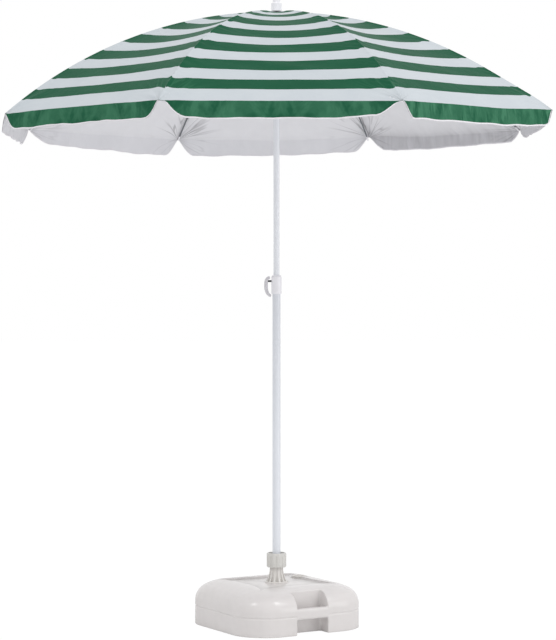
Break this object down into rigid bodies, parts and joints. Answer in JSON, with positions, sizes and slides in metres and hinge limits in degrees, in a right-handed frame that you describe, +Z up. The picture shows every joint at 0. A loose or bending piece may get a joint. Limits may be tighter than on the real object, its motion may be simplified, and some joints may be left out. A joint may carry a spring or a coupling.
{
  "type": "patio umbrella with base",
  "caption": "Octagonal striped garden umbrella with valance, two-part pole with pull-pin height lock, and a fillable moulded base with two carry grips.",
  "frame": {"origin": "on the floor, at the pole axis, under the middle of the base", "axes": "+Z up along the pole, front towards -Y, height lock on the -X side, front carry grip turned 30 degrees from -Y towards +X"},
  "size_m": [1.618, 1.618, 1.9616],
  "materials": {
    "tank": "satin moulded polyethylene",
    "socket": "satin",
    "collet": "satin",
    "nut": "satin",
    "cap": "satin",
    "gasket": "matte",
    "pole_paint": "gloss powder coat",
    "dark_plastic": "satin",
    "white_plastic": "satin",
    "pin_steel": "dark plated",
    "wire_steel": "galvanised",
    "spring_steel": "bright",
    "washer": "matte",
    "cloth": "woven, striped, silver underside"
  },
  "bodies": {
    "base": {"base_tank": "tank", "socket": "socket"},
    "collet": {"collet": "collet"},
    "clamp_nut": {"clamp_nut": "nut"},
    "filler_cap": {"filler_cap": "cap", "cap_gasket": "gasket"},
    "lower_pole": {"lower_tube": "pole_paint", "foot_plug": "dark_plastic", "height_collar": "white_plastic"},
    "height_lock": {"lock_pin": "pin_steel", "pull_ring": "white_plastic"},
    "upper_pole": {"upper_tube": "pole_paint", "slide_bush": "dark_plastic", "hub": "dark_plastic", "hub_ring": "wire_steel", "catch_spring": "spring_steel", "crown_washer": "washer", "finial": "white_plastic"},
    "runner": {"runner": "white_plastic"},
    "rib_1": {"rib_1": "wire_steel", "rib_clip_1": "spring_steel", "rib_tip_1": "white_plastic", "canopy_1": "cloth"},
    "rib_2": {"rib_2": "wire_steel", "rib_clip_2": "spring_steel", "rib_tip_2": "white_plastic", "canopy_2": "cloth"},
    "rib_3": {"rib_3": "wire_steel", "rib_clip_3": "spring_steel", "rib_tip_3": "white_plastic", "canopy_3": "cloth"},
    "rib_4": {"rib_4": "wire_steel", "rib_clip_4": "spring_steel", "rib_tip_4": "white_plastic", "canopy_4": "cloth"},
    "rib_5": {"rib_5": "wire_steel", "rib_clip_5": "spring_steel", "rib_tip_5": "white_plastic", "canopy_5": "cloth"},
    "rib_6": {"rib_6": "wire_steel", "rib_clip_6": "spring_steel", "rib_tip_6": "white_plastic", "canopy_6": "cloth"},
    "rib_7": {"rib_7": "wire_steel", "rib_clip_7": "spring_steel", "rib_tip_7": "white_plastic", "canopy_7": "cloth"},
    "rib_8": {"rib_8": "wire_steel", "rib_clip_8": "spring_steel", "rib_tip_8": "white_plastic", "canopy_8": "cloth"},
    "strut_1": {"strut_1": "wire_steel"},
    "strut_2": {"strut_2": "wire_steel"},
    "strut_3": {"strut_3": "wire_steel"},
    "strut_4": {"strut_4": "wire_steel"},
    "strut_5": {"strut_5": "wire_steel"},
    "strut_6": {"strut_6": "wire_steel"},
    "strut_7": {"strut_7": "wire_steel"},
    "strut_8": {"strut_8": "wire_steel"}
  },
  "joints": [
    {"name": "nut_turn", "type": "hinge", "parent": "base", "child": "clamp_nut", "pos_m": [0, 0, 0.202], "axis": [0, 0, 1], "range_deg": [0, 720]},
    {"name": "cap_turn", "type": "hinge", "parent": "base", "child": "filler_cap", "pos_m": [0.07244, 0.11154, 0.132], "axis": [0, 0, 1], "range_deg": [0, 540]},
    {"name": "pole_turn", "type": "hinge", "parent": "base", "child": "collet", "pos_m": [0, 0, 0.184], "axis": [0, 0, 1], "continuous": true},
    {"name": "pole_lift", "type": "slide", "parent": "collet", "child": "lower_pole", "axis": [0, 0, 1], "range_m": [0, 0.19]},
    {"name": "height_slide", "type": "slide", "parent": "lower_pole", "child": "upper_pole", "axis": [0, 0, 1], "range_m": [-0.12, 0.18]},
    {"name": "lock_pull", "type": "slide", "parent": "lower_pole", "child": "height_lock", "axis": [-1, 0, 0], "range_m": [-0.0035, 0.008]},
    {"name": "runner_slide", "type": "slide", "parent": "upper_pole", "child": "runner", "axis": [0, 0, -1], "range_m": [0, 0.38598], "deforming": ["canopy_1", "canopy_2", "canopy_3", "canopy_4", "canopy_5", "canopy_6", "canopy_7", "canopy_8", "catch_spring"]},
    {"name": "rib_fold_1", "type": "hinge", "parent": "upper_pole", "child": "rib_1", "pos_m": [0.00651, -0.01571, 1.9025], "axis": [0.9239, 0.3827, 0], "range_deg": [0, 66.01]},
    {"name": "strut_fold_1", "type": "hinge", "parent": "rib_1", "child": "strut_1", "pos_m": [0.11902, -0.28734, 1.84944], "axis": [-0.9239, -0.3827, 0], "range_deg": [0, 112.44]},
    {"name": "rib_fold_2", "type": "hinge", "parent": "upper_pole", "child": "rib_2", "pos_m": [0.01571, -0.00651, 1.9025], "axis": [0.3827, 0.9239, 0], "range_deg": [0, 66.01]},
    {"name": "strut_fold_2", "type": "hinge", "parent": "rib_2", "child": "strut_2", "pos_m": [0.28734, -0.11902, 1.84944], "axis": [-0.3827, -0.9239, 0], "range_deg": [0, 112.44]},
    {"name": "rib_fold_3", "type": "hinge", "parent": "upper_pole", "child": "rib_3", "pos_m": [0.01571, 0.00651, 1.9025], "axis": [-0.3827, 0.9239, 0], "range_deg": [0, 66.01]},
    {"name": "strut_fold_3", "type": "hinge", "parent": "rib_3", "child": "strut_3", "pos_m": [0.28734, 0.11902, 1.84944], "axis": [0.3827, -0.9239, 0], "range_deg": [0, 112.44]},
    {"name": "rib_fold_4", "type": "hinge", "parent": "upper_pole", "child": "rib_4", "pos_m": [0.00651, 0.01571, 1.9025], "axis": [-0.9239, 0.3827, 0], "range_deg": [0, 66.01]},
    {"name": "strut_fold_4", "type": "hinge", "parent": "rib_4", "child": "strut_4", "pos_m": [0.11902, 0.28734, 1.84944], "axis": [0.9239, -0.3827, 0], "range_deg": [0, 112.44]},
    {"name": "rib_fold_5", "type": "hinge", "parent": "upper_pole", "child": "rib_5", "pos_m": [-0.00651, 0.01571, 1.9025], "axis": [-0.9239, -0.3827, 0], "range_deg": [0, 66.01]},
    {"name": "strut_fold_5", "type": "hinge", "parent": "rib_5", "child": "strut_5", "pos_m": [-0.11902, 0.28734, 1.84944], "axis": [0.9239, 0.3827, 0], "range_deg": [0, 112.44]},
    {"name": "rib_fold_6", "type": "hinge", "parent": "upper_pole", "child": "rib_6", "pos_m": [-0.01571, 0.00651, 1.9025], "axis": [-0.3827, -0.9239, 0], "range_deg": [0, 66.01]},
    {"name": "strut_fold_6", "type": "hinge", "parent": "rib_6", "child": "strut_6", "pos_m": [-0.28734, 0.11902, 1.84944], "axis": [0.3827, 0.9239, 0], "range_deg": [0, 112.44]},
    {"name": "rib_fold_7", "type": "hinge", "parent": "upper_pole", "child": "rib_7", "pos_m": [-0.01571, -0.00651, 1.9025], "axis": [0.3827, -0.9239, 0], "range_deg": [0, 66.01]},
    {"name": "strut_fold_7", "type": "hinge", "parent": "rib_7", "child": "strut_7", "pos_m": [-0.28734, -0.11902, 1.84944], "axis": [-0.3827, 0.9239, 0], "range_deg": [0, 112.44]},
    {"name": "rib_fold_8", "type": "hinge", "parent": "upper_pole", "child": "rib_8", "pos_m": [-0.00651, -0.01571, 1.9025], "axis": [0.9239, -0.3827, 0], "range_deg": [0, 66.01]},
    {"name": "strut_fold_8", "type": "hinge", "parent": "rib_8", "child": "strut_8", "pos_m": [-0.11902, -0.28734, 1.84944], "axis": [-0.9239, 0.3827, 0], "range_deg": [0, 112.44]}
  ],
  "couplings": [
    {"joint": "rib_fold_1", "follows": "runner_slide", "rad_per_m": 2.9844},
    {"joint": "strut_fold_1", "follows": "runner_slide", "rad_per_m": 5.0837},
    {"joint": "rib_fold_2", "follows": "runner_slide", "rad_per_m": 2.9844},
    {"joint": "strut_fold_2", "follows": "runner_slide", "rad_per_m": 5.0837},
    {"joint": "rib_fold_3", "follows": "runner_slide", "rad_per_m": 2.9844},
    {"joint": "strut_fold_3", "follows": "runner_slide", "rad_per_m": 5.0837},
    {"joint": "rib_fold_4", "follows": "runner_slide", "rad_per_m": 2.9844},
    {"joint": "strut_fold_4", "follows": "runner_slide", "rad_per_m": 5.0837},
    {"joint": "rib_fold_5", "follows": "runner_slide", "rad_per_m": 2.9844},
    {"joint": "strut_fold_5", "follows": "runner_slide", "rad_per_m": 5.0837},
    {"joint": "rib_fold_6", "follows": "runner_slide", "rad_per_m": 2.9844},
    {"joint": "strut_fold_6", "follows": "runner_slide", "rad_per_m": 5.0837},
    {"joint": "rib_fold_7", "follows": "runner_slide", "rad_per_m": 2.9844},
    {"joint": "strut_fold_7", "follows": "runner_slide", "rad_per_m": 5.0837},
    {"joint": "rib_fold_8", "follows": "runner_slide", "rad_per_m": 2.9844},
    {"joint": "strut_fold_8", "follows": "runner_slide", "rad_per_m": 5.0837}
  ]
}
